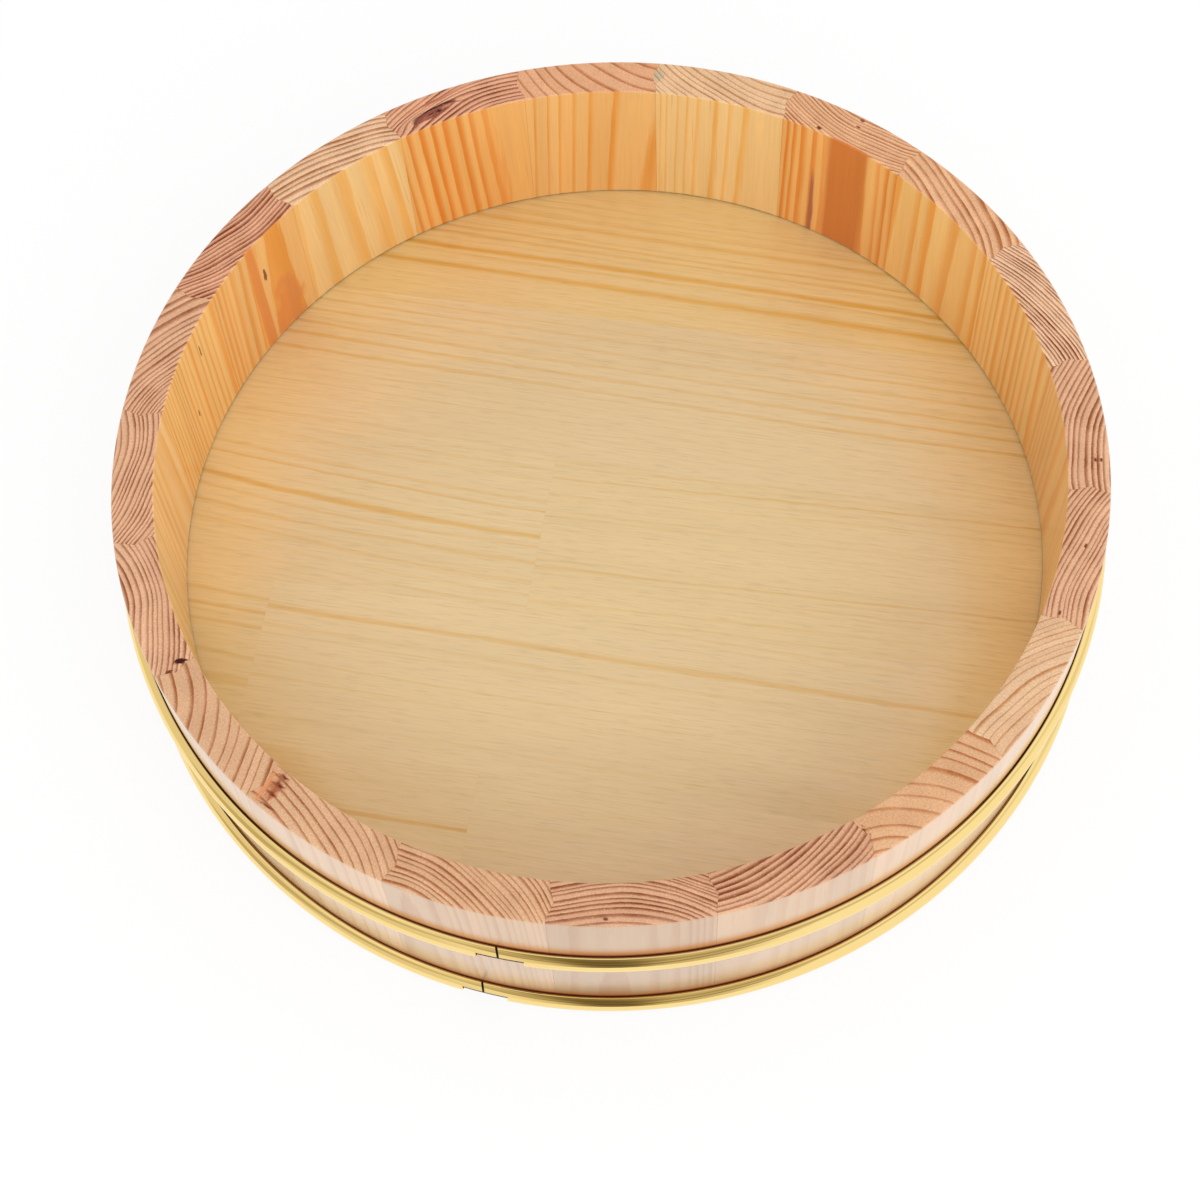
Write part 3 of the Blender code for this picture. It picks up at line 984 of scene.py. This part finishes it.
def studio_white(name):
    """White card that glows where it is seen or mirrored, and only scatters the light that falls on it."""
    finish = Finish(name)
    output = finish.tree.nodes["Material Output"]
    matt = finish.add("BsdfDiffuse", {"Color": (0.95, 0.95, 0.95, 1)})
    glow = finish.add("Emission", {"Color": (1, 1, 1, 1), "Strength": 1.0})
    path = finish.add("LightPath", {})
    share = finish.sum("MULTIPLY", path.outputs["Is Camera Ray"], floor_glow)
    for kind in ("Is Glossy Ray", "Is Transmission Ray"):
        share = finish.sum("MAXIMUM", share, path.outputs[kind])
    mixed = finish.add("MixShader", {0: share, 1: matt.outputs[0], 2: glow.outputs[0]})
    finish.tree.links.new(mixed.outputs[0], output.inputs["Surface"])
    finish.tree.nodes.remove(finish.shader)
    return finish.material


floor_shape = bmesh.new()
bmesh.ops.create_grid(floor_shape, x_segments=1, y_segments=1, size=floor_size / 2)
floor_mesh = bpy.data.meshes.new("studio_floor")
floor_shape.to_mesh(floor_mesh)
floor_shape.free()
floor_mesh.materials.append(studio_white("studio_white"))
floor = bpy.data.objects.new("studio_floor", floor_mesh)
bpy.context.collection.objects.link(floor)

world = bpy.data.worlds.new("studio_surround")
world.use_nodes = True
bpy.context.scene.world = world
sky = Steps(world.node_tree)
path = sky.add("LightPath", {})
towards = sky.add("SeparateXYZ", {0: sky.add("TexCoord", {}).outputs["Generated"]})

# A dark patch high up behind, for the level wood
aside = sky.sum("ABSOLUTE", towards.outputs["X"])
high = sky.ramp(towards.outputs["Z"], 0.4, 0.6)
behind = sky.ramp(towards.outputs["Y"], 0.08, 0.25)
patch = sky.sum("MULTIPLY", high, sky.sum("MULTIPLY", behind, sky.ramp(aside, 0.28, 0.5, 1.0, 0.0)))

# In front, for the metal: a shaded middle, a dim band that leans back to both sides, and a low dim line
ahead = sky.sum("MULTIPLY", towards.outputs["Y"], -1.0)
front = sky.ramp(ahead, 0.08, 0.18)
broad = sky.sum("MULTIPLY", front, sky.ramp(aside, 0.1, 0.5, 1.0, 0.0))
off_middle = sky.sum("ABSOLUTE", sky.sum("ADD", towards.outputs["X"], 0.08))
middle = sky.sum("MULTIPLY", front, sky.ramp(off_middle, 0.0, 0.2, 1.0, 0.0))
leaning = sky.sum("MULTIPLY_ADD", towards.outputs["X"], 0.15, sky.sum("MULTIPLY_ADD", aside, 0.55, ahead))
band = sky.sum("MULTIPLY", sky.ramp(leaning, 0.46, 0.54), sky.ramp(leaning, 0.72, 0.84, 1.0, 0.0))
band = sky.sum("MULTIPLY", band, sky.ramp(towards.outputs["X"], 0.45, 0.8, 1.0, 0.5))
rising = sky.sum("MULTIPLY_ADD", aside, -0.75, towards.outputs["Z"])
line = sky.ramp(sky.sum("ABSOLUTE", sky.sum("SUBTRACT", rising, 0.4)), 0.05, 0.12, 1.0, 0.0)
line = sky.sum("MULTIPLY", line, sky.ramp(broad, 0.05, 0.5))
mirrored = sky.ramp(towards.outputs["X"], -0.6, -0.3, side_shade, 1.0)
dimmed = [
    (patch, mirror_patch),
    (broad, front_shade),
    (middle, middle_shade),
    (band, mirror_band),
    (line, mirror_line),
]
for cover, shade in dimmed:
    mirrored = sky.sum("MULTIPLY", mirrored, sky.ramp(cover, 0, 1, 1.0, shade))
tint = sky.mix(mirrored, shade_tint, (1, 1, 1, 1))
level = sky.ramp(path.outputs["Is Glossy Ray"], 0, 1, surround_level, mirrored)
level = sky.ramp(path.outputs["Is Camera Ray"], 0, 1, level, 1.0)
colour = sky.mix(path.outputs["Is Glossy Ray"], (1, 1, 1, 1), tint)
sky.feed(sky.tree.nodes["Background"].inputs["Color"], colour)
sky.feed(sky.tree.nodes["Background"].inputs["Strength"], level)

lamp_data = bpy.data.lights.new("front_softbox", "AREA")
lamp_data.shape = "DISK"
lamp_data.size = lamp_size
lamp_data.energy = lamp_power
lamp = bpy.data.objects.new("front_softbox", lamp_data)
lamp.location = lamp_place
lamp.rotation_euler = (-lamp_place).to_track_quat("-Z", "Y").to_euler()
lamp.visible_glossy = False
bpy.context.collection.objects.link(lamp)

camera_target = Vector((-0.00596, -0.05531, 0.080))
camera_distance = 0.7203
camera_elevation = math.radians(62.848)
camera_roll = math.radians(-3.895)
camera_data = bpy.data.cameras.new("camera")
camera_data.lens = 67.51
camera_data.sensor_width = 36.0
camera = bpy.data.objects.new("camera", camera_data)
towards_camera = Vector((0, -math.cos(camera_elevation), math.sin(camera_elevation)))
camera.location = camera_target + towards_camera * camera_distance
upright = Matrix.Rotation(math.pi / 2 - camera_elevation, 4, "X")
camera.rotation_euler = (upright @ Matrix.Rotation(camera_roll, 4, "Z")).to_euler()
bpy.context.collection.objects.link(camera)
bpy.context.scene.camera = camera
bpy.context.scene.view_settings.view_transform = "Standard"
